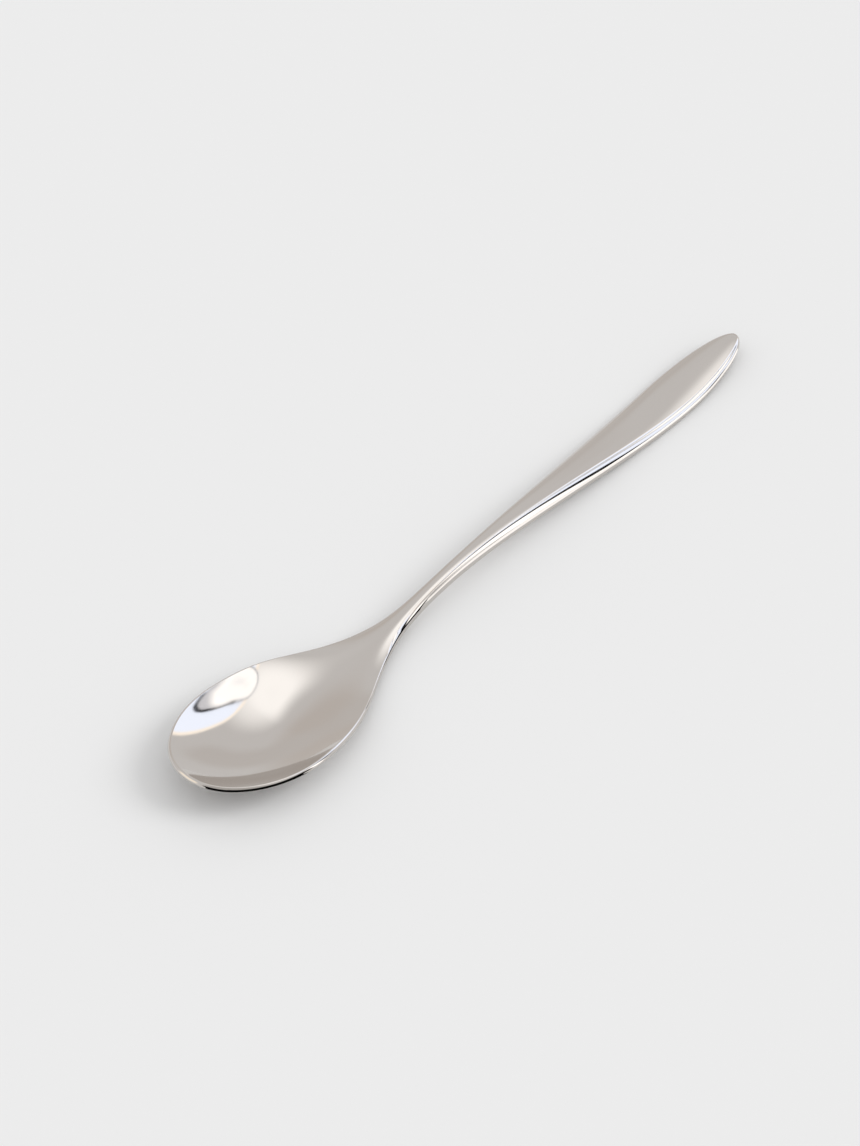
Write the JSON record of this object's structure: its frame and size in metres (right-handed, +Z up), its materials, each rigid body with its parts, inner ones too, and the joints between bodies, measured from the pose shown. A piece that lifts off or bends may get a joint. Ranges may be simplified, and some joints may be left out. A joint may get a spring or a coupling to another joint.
{
  "type": "dessert spoon",
  "caption": "Dessert spoon with a pear-shaped bowl, a slim neck and a leaf-shaped handle, forged in one piece of polished steel.",
  "frame": {"origin": "on the table, under the middle of the spoon's length and width", "axes": "+Z up, +X along the spoon from the bowl to the handle's end, +Y across it; the spoon lies bowl up as it rests on a table"},
  "size_m": [0.18, 0.0312, 0.0081],
  "materials": {
    "polished_steel": "mirror polished stainless steel"
  },
  "bodies": {
    "root": {"spoon": "polished_steel"}
  },
  "joints": []
}
